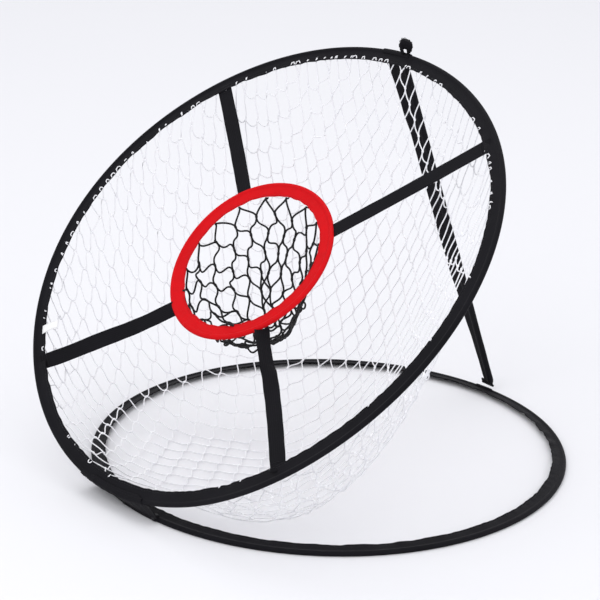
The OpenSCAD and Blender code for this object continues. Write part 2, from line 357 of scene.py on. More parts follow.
# ------------------------------------------------------------------ materials
class Shader:
    """A material's node tree, with short ways to add to it."""

    def __init__(self, name):
        self.material = bpy.data.materials.new(name)
        self.material.use_nodes = True
        self.tree = self.material.node_tree
        self.surface = self.tree.nodes["Principled BSDF"]

    def node(self, kind):
        return self.tree.nodes.new(kind)

    def link(self, source, target):
        self.tree.links.new(source, target)

    def calc(self, operation, a, b=None, clamp=False):
        node = self.node("ShaderNodeMath")
        node.operation = operation
        node.use_clamp = clamp
        for socket, value in zip(node.inputs, (a, b)):
            if isinstance(value, (int, float)):
                socket.default_value = value
            elif value is not None:
                self.link(value, socket)
        return node.outputs[0]

    def noise(self, coords, scale, detail):
        node = self.node("ShaderNodeTexNoise")
        node.inputs["Scale"].default_value = scale
        node.inputs["Detail"].default_value = detail
        self.link(coords.outputs["Object"], node.inputs["Vector"])
        return node.outputs["Fac"]

    def colour(self, factor, dark, light, start=0.0, end=1.0):
        node = self.node("ShaderNodeValToRGB")
        for stop, position, colour in zip(
                node.color_ramp.elements, (start, end), (dark, light)):
            stop.position = position
            stop.color = (*colour, 1)
        self.link(factor, node.inputs[0])
        self.link(node.outputs[0], self.surface.inputs["Base Color"])

    def bump(self, height, **inputs):
        node = self.node("ShaderNodeBump")
        for name, value in inputs.items():
            node.inputs[name].default_value = value
        self.link(height, node.inputs["Height"])
        self.link(node.outputs[0], self.surface.inputs["Normal"])

    def set(self, inputs):
        for name, value in inputs.items():
            self.surface.inputs[name].default_value = value


def weave_material(name, dark, light, pitch, bump, rough, sheen,
                   mottle=0.35, twill=False, use_uv=True):
    """Woven tape: over-and-under threads at the given pitch (m), uneven dye, worn sheen."""
    shader = Shader(name)
    calc = shader.calc
    coords = shader.node("ShaderNodeTexCoord")
    split = shader.node("ShaderNodeSeparateXYZ")
    shader.link(coords.outputs["UV" if use_uv else "Object"], split.inputs[0])
    x, y, z = split.outputs
    u, v = (x, y) if use_uv else (calc("ADD", x, y), z)
    thread = math.pi / pitch
    across = calc("SINE", calc("MULTIPLY", u, thread))
    if twill:
        v = calc("ADD", v, calc("MULTIPLY", u, 1.0))
    down = calc("SINE", calc("MULTIPLY", v, thread))
    weave = calc("MULTIPLY", across, down)
    rib = calc("ABSOLUTE", across)
    worn = shader.noise(coords, scale=90, detail=5)
    patches = shader.noise(coords, scale=14, detail=3)
    fuzz = shader.noise(coords, scale=2200, detail=2)

    def total(shares, clamp=False):
        """Sum of the (value, share) pairs."""
        result = None
        for value, share in shares:
            part = calc("MULTIPLY", value, share)
            last = value is shares[-1][0]
            result = part if result is None else calc("ADD", result, part, clamp and last)
        return result

    tone = total([(worn, mottle), (patches, 0.45), (weave, 0.16)], clamp=True)
    shader.colour(tone, dark, light, start=0.2, end=0.75)
    # roughness varies by 0.24 about its middle
    roughness = calc("ADD", rough - 0.12, calc("MULTIPLY", worn, 0.24))
    shader.link(roughness, shader.surface.inputs["Roughness"])
    height = total([(weave, 0.6), (rib, 0.3), (fuzz, 0.35), (worn, 1.2)])
    shader.bump(height, Strength=0.6, Distance=bump)
    shader.set({"Sheen Weight": sheen, "Sheen Roughness": 0.5, "Specular IOR Level": 0.07})
    return shader.material


def cord_material(name, dark, light, pitch, bump, rough, sheen):
    """Twisted cord: slanted strands along the cord and a little soiling."""
    shader = Shader(name)
    calc = shader.calc
    coords = shader.node("ShaderNodeTexCoord")
    split = shader.node("ShaderNodeSeparateXYZ")
    shader.link(coords.outputs["UV"], split.inputs[0])
    along = calc("MULTIPLY", split.outputs[0], 2 * math.pi / pitch)
    slant = calc("MULTIPLY", split.outputs[1], 2 * math.pi / (pitch * 0.8))
    strand = calc("SINE", calc("ADD", along, slant))
    soiling = shader.noise(coords, scale=60, detail=4)
    tone = calc("ADD", calc("MULTIPLY", strand, 0.2), soiling, clamp=True)
    shader.colour(tone, dark, light, start=0.25, end=0.7)
    shader.bump(strand, Strength=0.5, Distance=bump)
    shader.set({"Roughness": rough, "Sheen Weight": sheen, "Specular IOR Level": 0.2})
    return shader.material


def metal_material(name, colour, rough):
    shader = Shader(name)
    noise = shader.noise(shader.node("ShaderNodeTexCoord"), scale=400, detail=4)
    shader.colour(noise, dark=[c * 0.7 for c in colour], light=colour)
    shader.set({"Metallic": 1})
    roughness = shader.calc("ADD", rough, shader.calc("MULTIPLY", noise, 0.2))
    shader.link(roughness, shader.surface.inputs["Roughness"])
    return shader.material


def plastic_material(name, colour, rough):
    shader = Shader(name)
    noise = shader.noise(shader.node("ShaderNodeTexCoord"), scale=900, detail=3)
    shader.colour(noise, dark=[c * 0.8 for c in colour], light=colour)
    shader.set({"Roughness": rough})
    shader.bump(noise, Distance=0.00005)
    return shader.material


BLACK, BLACK_WORN = (0.0040, 0.0038, 0.0052), (0.0105, 0.010, 0.0130)
BINDING = weave_material(
    "black_binding", dark=BLACK, light=(0.0105, 0.010, 0.0135),
    pitch=0.00055, bump=0.00012, rough=0.62, sheen=0.02)
WEBBING = weave_material(
    "black_webbing", dark=BLACK, light=BLACK_WORN,
    pitch=0.0011, bump=0.00025, rough=0.66, sheen=0.015, twill=True)
WRAP = weave_material(
    "black_wrap", dark=BLACK, light=BLACK_WORN,
    pitch=0.0009, bump=0.0002, rough=0.66, sheen=0.015, use_uv=False)
THREAD = cord_material(
    "black_thread", dark=(0.005, 0.005, 0.006), light=(0.016, 0.016, 0.018),
    pitch=0.0006, bump=0.00005, rough=0.55, sheen=0.02)
RED = weave_material(
    "red_binding", dark=(0.50, 0.0030, 0.0060), light=(0.66, 0.0055, 0.0095),
    pitch=0.0006, bump=0.00012, rough=0.6, sheen=0.0, mottle=0.4)
RED_THREAD = cord_material(
    "red_thread", dark=(0.30, 0.002, 0.005), light=(0.50, 0.005, 0.010),
    pitch=0.0006, bump=0.00005, rough=0.55, sheen=0.0)
BLACK_CORD = cord_material(
    "black_cord", dark=(0.003, 0.003, 0.0035), light=(0.010, 0.010, 0.011),
    pitch=0.0016, bump=0.00018, rough=0.55, sheen=0.02)
WHITE_CORD = cord_material(
    "white_cord", dark=(0.80, 0.80, 0.84), light=(0.93, 0.93, 0.95),
    pitch=0.0014, bump=0.00012, rough=0.6, sheen=0.1)
LABEL = weave_material(
    "white_label", dark=(0.78, 0.78, 0.78), light=(0.9, 0.9, 0.9),
    pitch=0.0005, bump=0.00004, rough=0.5, sheen=0.0)
STEEL = metal_material("spring_steel", colour=(0.55, 0.55, 0.56), rough=0.3)
CRIMP = metal_material("crimp_steel", colour=(0.45, 0.45, 0.46), rough=0.4)
GLASS = plastic_material("fibreglass_rod", colour=(0.75, 0.72, 0.62), rough=0.45)
CAP = plastic_material("cap_plastic", colour=(0.03, 0.03, 0.03), rough=0.5)

# CAD pieces kept as they are
for names, material in (
    (("base_wire", "main_wire", "target_wire"), STEEL),
    (("base_ferrule", "main_ferrule", "target_ferrule"), CRIMP),
    (("hinge_tack_left", "hinge_tack_right"), THREAD),
    (("hinge_web", "hinge_patch", "foot_wrap", "top_wrap", "prop_foot_tab", "prop_top_tab"),
     WRAP),
    (("prop_rod",), GLASS),
    (("prop_cap_top", "prop_cap_bottom"), CAP),
):
    for name in names:
        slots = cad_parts[name].data.materials
        slots.clear()
        slots.append(material)


# ------------------------------------------------------------------ tape and stitches
def fold_section(inset, thick, flap, fold_r, arc_end, arc_points):
    """Outline of a tape folded round its wire: upper flap, fold, lower flap.

    inset is measured from the flap's edge; thick is half the thickness there.
    """
    x = inset - flap
    arc = np.radians(np.linspace(arc_end, -arc_end, arc_points))
    fold = fold_r * np.stack([np.cos(arc), np.sin(arc)], -1)
    return np.concatenate([np.stack([x, thick], -1), fold, np.stack([x, -thick], -1)[::-1]])


def tape_sections(width, fold_r, rise, edge_shift, edge_lift, half=0.95, stitch=2.6):
    """One outline per station, pinched at the stitch line, with a wavy inner edge."""
    flap = width - fold_r
    inset = np.array([0.0, 0.25, 0.9, 1.8, stitch, stitch + 0.9, stitch + 2.2, stitch + 4.2,
                      flap - 4.4])
    thick = np.array([0.15, 0.55, 0.85, 0.8, 0.5, 0.78, 0.95, 1.0, 1.15]) * half
    section = fold_section(inset, thick, flap, fold_r, arc_end=148, arc_points=15)
    out = np.repeat(section[None], len(edge_shift), 0)
    # the waves grow from the fold to the edge
    weight = np.clip((-section[:, 0] - fold_r) / (flap - fold_r), 0, 1)
    out[:, :, 0] += -edge_shift[:, None] * weight
    out[:, :, 1] += edge_lift[:, None] * weight ** 1.5
    return turn_section(out, rise)


def along_frames(line, out, up, sections):
    return line[:, None] + out[:, None] * sections[..., :1] + up[:, None] * sections[..., 1:]


def stitch_loop(cords, line, up, pitch, length, radius):
    """Short raised stitches along a closed line, sunk at their ends."""
    run = distances(line, True)
    total = run[-1]
    middles = (np.arange(int(total / pitch)) + 0.5) * pitch

    def sample(values, at):
        return np.stack([np.interp(at, run[:-1], values[:, i], period=total)
                         for i in range(3)], -1)

    points = []
    for share, height in ((-0.5, -0.25), (-0.25, 0.12), (0, 0.2), (0.25, 0.12), (0.5, -0.25)):
        at = (middles + share * length) % total
        points.append(sample(line, at) + unit(sample(up, at)) * height)
    cords.add(np.stack(points, 1), radius)


def stitch_line(cords, line, up, margin, pitch, length):
    """The same along an open line, with an unstitched margin at each end."""
    run = distances(line, False)
    middles = np.arange(margin, run[-1] - margin, pitch)

    def sample(values, at):
        return np.stack([np.interp(at, run, values[:, i]) for i in range(3)], -1)

    points = []
    for share, height in ((-0.5, -0.2), (0, 0.22), (0.5, -0.2)):
        at = middles + share * length
        points.append(sample(line, at) + sample(up, at) * height)
    cords.add(np.stack(points, 1), STITCH_R)


def sew_loop(name, rings, up, columns, stitch, material, part):
    """Rows of stitches on a bound hoop; negative columns lie on its underside."""
    cords = Cords()
    for column in columns:
        stitch_loop(cords, rings[:, column], up * (1 if column > 0 else -1), **stitch)
    attach(cords.build(name, material), part)


# ------------------------------------------------------------------ bound hoops
HOOP_STATIONS = 1080
HOOP_ANGLES = np.linspace(0, TURN, HOOP_STATIONS, endpoint=False)
HOOP_DEGREES = np.degrees(HOOP_ANGLES)


def build_catch_hoop():
    n, length = HOOP_STATIONS, 1900
    line, out, up = hoop_frames(HOOP_ANGLES)
    shift = ripples(n, length, (0.28, 16, 1), (0.35, 60, 2))
    lift = ripples(n, length, (0.35, 22, 3), (0.5, 80, 4))
    # the flap is wider at the front left and at the top
    shift = shift + 1.7 * bell(HOOP_DEGREES - 314, 24) + 0.7 * bell(HOOP_DEGREES - 205, 26)
    rings = lean(along_frames(line, out, up, tape_sections(TAPE + 1.1, FOLD, RISE, shift, lift)))
    obj = sweep("catch_hoop_binding", rings, BINDING, closed=True)
    attach(obj, "catch_hoop", replaces="main_sleeve")
    sew_loop("catch_hoop_stitching", rings, lean_dir(up), (4, -5), BLACK_STITCH,
             THREAD, "catch_hoop")


def build_base_hoop():
    n, length = HOOP_STATIONS, 1760
    line, out, up = base_frames(HOOP_ANGLES)
    shift = ripples(n, length, (0.25, 15, 5), (0.35, 60, 6))
    lift = ripples(n, length, (0.3, 20, 7), (0.6, 70, 8))
    sections = tape_sections(TAPE + 0.3, FOLD, BASE_RISE, shift, lift)
    # puckers where the tape bunches: degrees, width in degrees, height
    for middle, width, height in ((148, 7, 1.3), (162, 5, 1.1), (66, 6, 0.3), (210, 5, 0.7)):
        bunch = height * bell(HOOP_DEGREES - middle, width)
        bunch = (bunch * np.sin(np.radians(HOOP_DEGREES * 55)))[:, None]
        weight = np.clip((-turn_section(sections, -BASE_RISE)[..., 0] - 3) / 11, 0, 1)
        sections[..., 1] += bunch * weight
        sections[..., 0] += 0.6 * np.abs(bunch) * weight
    # nothing goes below the floor
    sections[..., 1] = np.maximum(sections[..., 1], -BASE_WIRE_Z)
    rings = along_frames(line, out, up, sections)
    obj = sweep("base_hoop_binding", rings, BINDING, closed=True)
    attach(obj, "base", replaces="base_sleeve")
    sew_loop("base_hoop_stitching", rings, up, (4,), BLACK_STITCH,
             THREAD, "base")


def build_target_ring():
    """The red binding, with the lap where its tape ends."""
    n, length = 480, 650
    angle = np.linspace(0, TURN, n, endpoint=False)
    out = np.stack([np.sin(angle), -np.cos(angle), 0 * angle], -1)
    up = np.tile(UP, (n, 1))
    egg = 1 + 0.006 * np.cos(2 * angle - 0.2) + 0.004 * np.cos(3 * angle)
    shift = ripples(n, length, (0.4, 24, 11), (0.5, 110, 13))
    lift = ripples(n, length, (0.4, 30, 12), (0.5, 90, 14))
    sections = tape_sections(RING_TAPE, RING_FOLD, 0.0, shift, lift, half=0.9, stitch=2.0)
    lap = bell(wrap(np.degrees(angle) - 352), 4.5, power=8)[:, None]
    sections[..., 1] *= 1 + 0.4 * lap
    sections[..., 0] -= 0.6 * lap * (sections[..., 0] < -4)
    line = out * ((RING_R - RING_FOLD) * egg)[:, None] + up * (0.8 * np.sin(2 * angle))[:, None]
    rings = lean(RING_C + ring_turn(along_frames(line, out, up, sections)))
    obj = sweep("target_ring_binding", rings, RED, closed=True)
    attach(obj, "catch_hoop", replaces="target_sleeve")
    sew_loop("target_ring_stitching", rings, lean_dir(ring_turn(up)), (4, -5, 2, -3),
             RED_STITCH, RED_THREAD, "catch_hoop")


build_catch_hoop()
build_base_hoop()
build_target_ring()


# ------------------------------------------------------------------ webbing straps
def strap_side_direction():
    """The direction the straps turn to, in the catch hoop's frame."""
    level, rise = 0.935, 0.3544
    x, y, z = SIDE_X * level, SIDE_Y * level, rise
    c, s = math.cos(TILT), math.sin(TILT)
    return np.array([x, y * c + z * s, -y * s + z * c])


def strap_rings(line, side, up, width, thick):
    """A woven strap along line, with rounded selvedges and a slightly crowned face."""
    x = np.array([-0.5, -0.49, -0.46, -0.40, -0.2, 0, 0.2, 0.40, 0.46, 0.49, 0.5])
    z = np.array([0.25, 0.75, 1.0, 0.85, 0.95, 1.0, 0.95, 0.85, 1.0, 0.75, 0.25]) * 0.5
    profile = np.concatenate([np.stack([x, z], -1), np.stack([x[::-1], -z[::-1]], -1)])
    return (line[:, None] + side[:, None] * (profile[:, 0][None, :, None] * width[:, None, None])
            + up[:, None] * (profile[:, 1] * thick)[None, :, None])


def strap_hang(name, t):
    """How a strap hangs: sag, and along it the sway, the roll and the share of side turn."""
    mid = np.sin(np.pi * t)
    if name == "strap_front_right":  # half turned where it leaves the ring, then opening out
        turned = 1 - ease(np.clip((t - 0.24) / 0.10, 0, 1))
        sway = -1.4 * turned * np.clip(t / 0.1, 0, 1) + 2.2 * mid
        roll = np.radians(-33) * turned + np.radians(4) * mid
        return 2.0, sway, roll, 1.0 - 0.45 * t ** 3
    if name == "strap_front_left":  # a little wavy
        sway = 1.2 * np.sin(2.4 * np.pi * t + 0.4) * mid + 2.0 * mid
        return 2.0, sway, np.radians(6) * np.sin(2.6 * np.pi * t), 0.55 + 0.25 * t
    if name == "strap_back_left":
        return 1.5, 0 * t, np.radians(5) * mid, 0.1 + 0 * t
    return 1.0, 0 * t, 0 * t, 0 * t


def build_strap(number, name, hoop_degrees, ring_degrees):
    stations = 70
    hoop_end = on_hoop(math.radians(hoop_degrees), turn_section([-7.5, 0.5], RISE))
    ring_end = on_ring(math.radians(ring_degrees), RING_R - 1.2, -1.3)
    along = unit(hoop_end - ring_end)
    t = np.linspace(0, 1, stations)
    across = unit(np.cross(UP, along))
    sag, sway, roll, side_share = strap_hang(name, t)
    line = ring_end + (hoop_end - ring_end) * t[:, None]
    line = line - UP * (sag * np.sin(np.pi * t))[:, None] + across * sway[:, None]

    view = strap_side_direction()
    towards = unit(view - along * (view @ along))
    flat_up = unit(np.cross(along, across))
    up = unit(flat_up * (1 - side_share)[:, None] + towards * side_share[:, None])
    side = np.cross(up, along)
    # the roll is held back near the ring
    roll = (roll * (0.2 + 0.8 * np.clip(t / 0.07, 0, 1)))[:, None]
    side, up = (side * np.cos(roll) + up * np.sin(roll),
                -side * np.sin(roll) + up * np.cos(roll))
    width = 17.6 + 0.3 * smooth_noise(stations, 140, 30, 20 + number, False)
    rings = strap_rings(lean(line), lean_dir(side), lean_dir(up), width, thick=1.5)
    obj = sweep(name + "_webbing", rings, WEBBING)
    attach(obj, "catch_hoop", replaces=name)

    # rows of stitches where the strap is sewn to the hoop
    cords = Cords()
    k = int(0.955 * stations)
    centre = lean(line[k] + up[k] * 0.82)
    across_dir, along_dir, up_dir = lean_dir(side[k]), lean_dir(along), lean_dir(up[k])
    for row in (-3.0, 3.0):
        start = np.stack([centre + across_dir * (x - 0.8) + along_dir * row
                          for x in np.linspace(-7, 7, 8)], 0)
        end = start + across_dir * 1.6
        cords.add(np.stack([start, (start + end) / 2 + up_dir * 0.15, end], 1), STITCH_R)
    attach(cords.build(name + "_box_stitch", THREAD), "catch_hoop")


for number, strap in enumerate(STRAPS):
    build_strap(number, *strap)


# ------------------------------------------------------------------ net helpers
def relax(points, free, ia, ib, rest, fold_limit, steps, passes, gravity, collide, damp=0.94):
    """Position-based cord settling over the pieces ia-ib.

    Cords can't stretch, and can't fold up below fold_limit of their length. free is 0 for
    pinned points and 1 for the others.
    """
    total = len(points)
    previous = points.copy()
    meeting = np.bincount(ia, minlength=total) + np.bincount(ib, minlength=total)
    gain = (1.6 / np.maximum(meeting, 1))[:, None]
    for _ in range(steps):
        velocity = (points - previous) * damp
        speed = np.linalg.norm(velocity, axis=1, keepdims=True)
        velocity = velocity * np.minimum(1, 6.0 / np.maximum(speed, 1e-6))
        previous = points.copy()
        points = points + (velocity + gravity) * free[:, None]
        for _ in range(passes):
            span = points[ib] - points[ia]
            length = np.linalg.norm(span, axis=1)
            error = np.where(length > rest, length - rest, np.where(
                length < fold_limit * rest, length - fold_limit * rest, 0.0))
            share = free[ia] + free[ib]
            pull = (error / np.maximum(length, 1e-6) / np.maximum(share, 1e-6))[:, None] * span
            move = np.zeros_like(points)
            for axis in range(3):
                move[:, axis] = (
                    np.bincount(ia, pull[:, axis] * free[ia], minlength=total)
                    - np.bincount(ib, pull[:, axis] * free[ib], minlength=total))
            points = points + move * gain
        points = collide(points, free)
    return points


def add_middles(points, free, ea, eb, rng, scatter):
    """A free point half way along each cord ea-eb lets slack cords bow."""
    cords, first = len(ea), len(points)
    middles = (points[ea] + points[eb]) / 2 + rng.normal(0, scatter, (cords, 3))
    index = first + np.arange(cords)
    return (np.concatenate([points, middles]), np.concatenate([free, np.ones(cords)]),
            np.concatenate([ea, index]), np.concatenate([index, eb]))


def curve_through(a, middle, b, count, a_dir=None, b_dir=None, pull=0.3):
    """Curves from a to b, bowed towards middle, leaving and arriving along the directions."""
    t = np.linspace(0, 1, count)[None, :, None]
    reach = np.linalg.norm(b - a, axis=1, keepdims=True) * np.reshape(pull, (-1, 1))
    ca = a + (a_dir * reach if a_dir is not None else (b - a) / 3)
    cb = b - (b_dir * reach if b_dir is not None else (b - a) / 3)
    line = ((1 - t) ** 3 * a[:, None] + 3 * t * (1 - t) ** 2 * ca[:, None]
            + 3 * t ** 2 * (1 - t) * cb[:, None] + t ** 3 * b[:, None])
    return line + (middle - (a + b) / 2)[:, None] * np.sin(np.pi * t)


# ------------------------------------------------------------------ catch net
NET_LOW = np.array([10.0, -190.0, 3.0])  # lowest point of the bag
NET_FULL, NET_SINK = 1.8, 1.15  # powers that shape the bag's plan and its depth
NET_MESH = 20.0  # cord length between knots
NET_SLACK = 0.80
NET_CORD_R = 0.74
SECTORS = 24  # pieces the net is cut into


def rim_point(angle):
    """Where the net meets the flap's edge."""
    return lean(on_hoop(angle, turn_section([-(FLAP + 0.2), -0.2], RISE)))


def bag_surface(angle, s):
    """The bag before it settles; s runs from 0 at the rim to 1 at the lowest point."""
    rim = rim_point(angle)
    # the net drops nearly straight down from the front right of the rim
    full = NET_FULL - 1.15 * bell(wrap(np.degrees(angle) - 30), 42)
    cs, sn = np.cos(s * np.pi / 2), np.sin(s * np.pi / 2)
    xy = NET_LOW[:2] + (rim[:, :2] - NET_LOW[:2]) * (cs ** full)[:, None]
    z = NET_LOW[2] + (rim[:, 2] - NET_LOW[2]) * (1 - sn) ** NET_SINK
    return np.concatenate([xy, z[:, None]], 1)


# lengths down the bag's meridians, and the same smoothed round the rim
MERIDIANS = np.radians(np.arange(0, 360, 3.0))
DEPTHS = np.linspace(0, 1, 60)
meridian_table = np.stack(
    [bag_surface(MERIDIANS, np.full(len(MERIDIANS), s)) for s in DEPTHS], 1)
meridian_steps = np.linalg.norm(np.diff(meridian_table, axis=1), axis=2)
MERIDIAN_RUN = np.concatenate(
    [np.zeros((len(MERIDIANS), 1)), np.cumsum(meridian_steps, 1)], 1)
whole = MERIDIAN_RUN[:, -1]
MERIDIAN_LENGTH = np.convolve(
    np.concatenate([whole[-3:], whole, whole[:3]]), np.ones(7) / 7, "valid")


def net_reach(angle):
    """Radius of the flat net in a direction; tighter at the right, looser at the front right."""
    degrees = np.degrees(angle % TURN)
    tight = 1 - 0.20 * bell(degrees - 125, 48) + 0.44 * bell(wrap(degrees - 22), 34)
    return np.interp(angle % TURN, np.append(MERIDIANS, TURN),
                     np.append(MERIDIAN_LENGTH, MERIDIAN_LENGTH[0])) * NET_SLACK * tight


def drape(x, y):
    """Points of the flat net laid on the bag, with their angles and radii in the flat net."""
    angle = np.arctan2(x, -y) % TURN
    radius = np.hypot(x, y)
    share = np.clip(1 - radius / net_reach(angle), 0, 1)
    # length along the nearest meridian gives the place down the bag
    nearest = np.round(angle / np.radians(3)).astype(int) % len(MERIDIANS)
    s = np.array([np.interp(f * MERIDIAN_RUN[k, -1], MERIDIAN_RUN[k], DEPTHS)
                  for f, k in zip(share, nearest)])
    return bag_surface(angle, s), angle, radius


def lattice_xy(i, j):
    diagonal = math.sqrt(0.5)
    return (i - j) * NET_MESH * diagonal, (i + j) * NET_MESH * diagonal


def lattice_angle(x, y):
    return math.atan2(x, -y) % TURN


def net_lattice():
    """Knots of a diamond mesh cut to the bag's outline."""
    half_count = int(700 / NET_MESH)
    index, flat = {}, []
    for i in range(-half_count, half_count + 1):
        for j in range(-half_count, half_count + 1):
            x, y = lattice_xy(i, j)
            reach = float(net_reach(np.array([lattice_angle(x, y)]))[0])
            if math.hypot(x, y) < reach - 4:
                index[(i, j)] = len(flat)
                flat.append((x, y))
    return index, np.array(flat)


def keep_in_base(points, free):
    """The net rests on the floor and inside the base hoop."""
    z = points[:, 2]
    r = np.hypot(points[:, 0], points[:, 1])
    floor = np.where(r > 255, 10.5, 2.8)
    points[:, 2] = np.where((free > 0) & (z < floor), floor, z)
    outside = (free > 0) & (points[:, 2] < 12) & (r > 258)
    points[outside, :2] *= (257.5 / r[outside])[:, None]
    return points


def settle_catch_net():
    """Points (knots, rim ties, cord middles), cord ends, knot count, tie angles, directions."""
    rng = np.random.RandomState(7)
    index, flat = net_lattice()
    knots, knot_angle, knot_radius = drape(flat[:, 0], flat[:, 1])
    ea, eb, rest, ties = [], [], [], []
    for (i, j), k in index.items():
        for di, dj in ((1, 0), (0, 1), (-1, 0), (0, -1)):
            other = (i + di, j + dj)
            if other in index:
                if (di, dj) in ((1, 0), (0, 1)):
                    ea.append(k)
                    eb.append(index[other])
                    rest.append(NET_MESH)
                continue
            outer = lattice_angle(*lattice_xy(*other))
            angle = 0.5 * outer + 0.5 * knot_angle[k]
            if abs(outer - knot_angle[k]) > 3:
                angle = knot_angle[k]
            gap = float(net_reach(np.array([knot_angle[k]]))[0]) - knot_radius[k]
            ties.append((angle, k, max(5.0, min(NET_MESH, gap * 1.2))))
    tie_angle, tie_from, tie_rest = (np.array(column) for column in zip(*ties))
    order = np.argsort(tie_angle)
    tie_angle, tie_from, tie_rest = tie_angle[order], tie_from[order], tie_rest[order]

    count = len(knots)
    rim = rim_point(tie_angle)
    ea = np.concatenate([np.array(ea), tie_from]).astype(int)
    eb = np.concatenate([np.array(eb), count + np.arange(len(rim))]).astype(int)
    rest = np.concatenate([np.array(rest), tie_rest])
    free = np.concatenate([np.ones(count), np.zeros(len(rim))])
    points, free, ia, ib = add_middles(
        np.concatenate([knots, rim]), free, ea, eb, rng, scatter=1.1)
    half_rest = np.concatenate([rest / 2, rest / 2]) * rng.uniform(0.97, 1.06, 2 * len(ea))
    steps, passes = ((150, 7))
    points = relax(points, free, ia, ib, half_rest, fold_limit=0.5, steps=steps,
                   passes=passes, gravity=np.array([0, 0, -0.35]), collide=keep_in_base)

    # cords leave each knot along the line between its two pairs of neighbours
    along = np.zeros((count, 3))
    for (i, j), k in index.items():
        above = [points[index[q]] for q in ((i + 1, j), (i, j + 1)) if q in index]
        below = [points[index[q]] for q in ((i - 1, j), (i, j - 1)) if q in index]
        above = np.mean(above, 0) if above else points[k]
        below = np.mean(below, 0) if below else points[k]
        along[k] = (above - below) / max(np.linalg.norm(above - below), 1e-6)
    along = unit(along + rng.normal(0, 0.2, (count, 3)))
    return points, ea, eb, count, tie_angle, along


def sector_of(points):
    """Which sector round the target ring's centre each point falls in."""
    hoop_y = ((points[:, 1] - HOOP_Y) * math.cos(TILT)
              + (points[:, 2] - HOOP_Z) * math.sin(TILT))
    angle = np.arctan2(points[:, 0] - RING_C[0], -(hoop_y - RING_C[1])) % TURN
    return (angle / TURN * SECTORS).astype(int) % SECTORS


# how far the tie loops reach over the flap, as a share: degrees round the hoop, share
TIE_DEPTH = ([0, 95, 105, 146, 150, 174, 178, 360], [0.4, 0.4, 0.7, 0.7, 0.3, 0.3, 0.62, 0.62])


def add_ties(cords, start, angle, rng):
    """The cord loops over the flap's edge; only some loops show on top."""
    count, degrees = len(angle), np.degrees(angle)
    zero = np.zeros(count)
    jitter = rng.uniform(-0.011, 0.011, count)
    depth = rng.uniform(1.4, 4.6, count) * np.interp(degrees, *TIE_DEPTH)

    def at(turn, x, y):
        offset = turn_section(np.stack([x + zero, y + zero], -1), RISE)
        return lean(on_hoop(angle + turn, offset))

    def between(low, high):
        return (degrees > low) & (degrees < high)

    loops = np.stack([
        start,
        at(jitter * 0.2, -FLAP - 0.8, 0.6),
        at(jitter * 0.5, -FLAP + depth * 0.5, 1.35),
        at(jitter, -FLAP + depth, 1.3),
        at(jitter * 1.5 + 0.007, -FLAP + depth * 0.6, 1.35),
        at(jitter * 1.6 + 0.010, -FLAP - 1.2, 0.2)], 1)
    show = rng.uniform(size=count) < np.where(between(184, 300), 0.7, 0.24)
    show |= (rng.uniform(size=count) < 0.94) & (between(118, 150) | between(276, 296))
    for _, strap_degrees, _ in STRAPS:
        show &= np.abs(degrees - strap_degrees) > 2.8
    cords.add(loops[show], 0.66)
    under = [start, at(jitter, -FLAP + 2.0, -1.35), at(jitter * 1.5, -FLAP + 4.5, -1.3)]
    cords.add(np.stack(under, 1), 0.75)


def build_catch_net():
    points, ea, eb, count, tie_angle, along = settle_catch_net()
    middles = points[-len(ea):]
    cord_sector, knot_sector = sector_of(middles), sector_of(points[:count])
    centre = lean(RING_C - np.array([0, 0, 6.0]))
    rng = np.random.RandomState(5)
    for sector in range(SECTORS):
        cords = Cords()
        chosen = np.nonzero(cord_sector == sector)[0]
        inner, ties = chosen[eb[chosen] < count], chosen[eb[chosen] >= count]
        cords.add(curve_through(points[ea[inner]], middles[inner], points[eb[inner]], 7,
                                along[ea[inner]], along[eb[inner]], 0.30), NET_CORD_R)
        cords.add(curve_through(points[ea[ties]], middles[ties], points[eb[ties]], 5),
                  NET_CORD_R)
        knots = np.nonzero(knot_sector == sector)[0]
        cords.knots(points[knots], 1.4, along[knots], stretch=1.7)
        if len(ties):
            add_ties(cords, points[eb[ties]], tie_angle[eb[ties] - count], rng)
        obj = cords.build("catch_net_%02d" % sector, WHITE_CORD)
        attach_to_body(obj, "catch_hoop")
        # the plane through the ring's centre and this sector's piece of rim, turned to face the
        # way the catch hoop faces
        start, end = rim_point(np.array([sector, sector + 1]) / SECTORS * TURN)
        normal = np.cross(start - centre, end - centre)
        normal = normal / np.linalg.norm(normal)
        if normal @ HOOP_NORMAL < 0:
            normal = -normal
        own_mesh(obj)
        if sector == 0:
            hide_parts("catch_net")


build_catch_net()

# ------------------------------------------------------------------ target pocket
POCKET_TIES = 17  # cords tied to the ring, and knots in each of the upper rows
POCKET_ROWS = 7
POCKET_MESH = 22.5  # mean cord length between knots
POCKET_CORD_R = 1.14


def pocket_knots(low, rng):
    """Rows of knots from the ring down to low; the last rows have fewer."""
    index, points, counts = {}, [], []
    for i in range(POCKET_ROWS + 1):
        count = POCKET_TIES if i < 5 else max(8, POCKET_TIES - 4 * (i - 4))
        counts.append(count)
        s = i / POCKET_ROWS * 0.95
        cs, sn = math.cos(s * math.pi / 2), math.sin(s * math.pi / 2)
        for j in range(count):
            angle = TURN * (j + 0.5 * (i % 2)) / count
            if i == 0:
                angle += rng.uniform(-0.05, 0.05)
            rim = lean(on_ring(angle, RING_R - RING_TAPE - 0.4, -0.2))
            point = np.array([*(low[:2] + (rim[:2] - low[:2]) * cs ** 0.85),
                              low[2] + (rim[2] - low[2]) * (1 - sn)])
            if i:
                point = point + rng.normal(0, 3.4, 3)
            index[(i, j)] = len(points)
            points.append(point)
    return index, np.array(points), counts


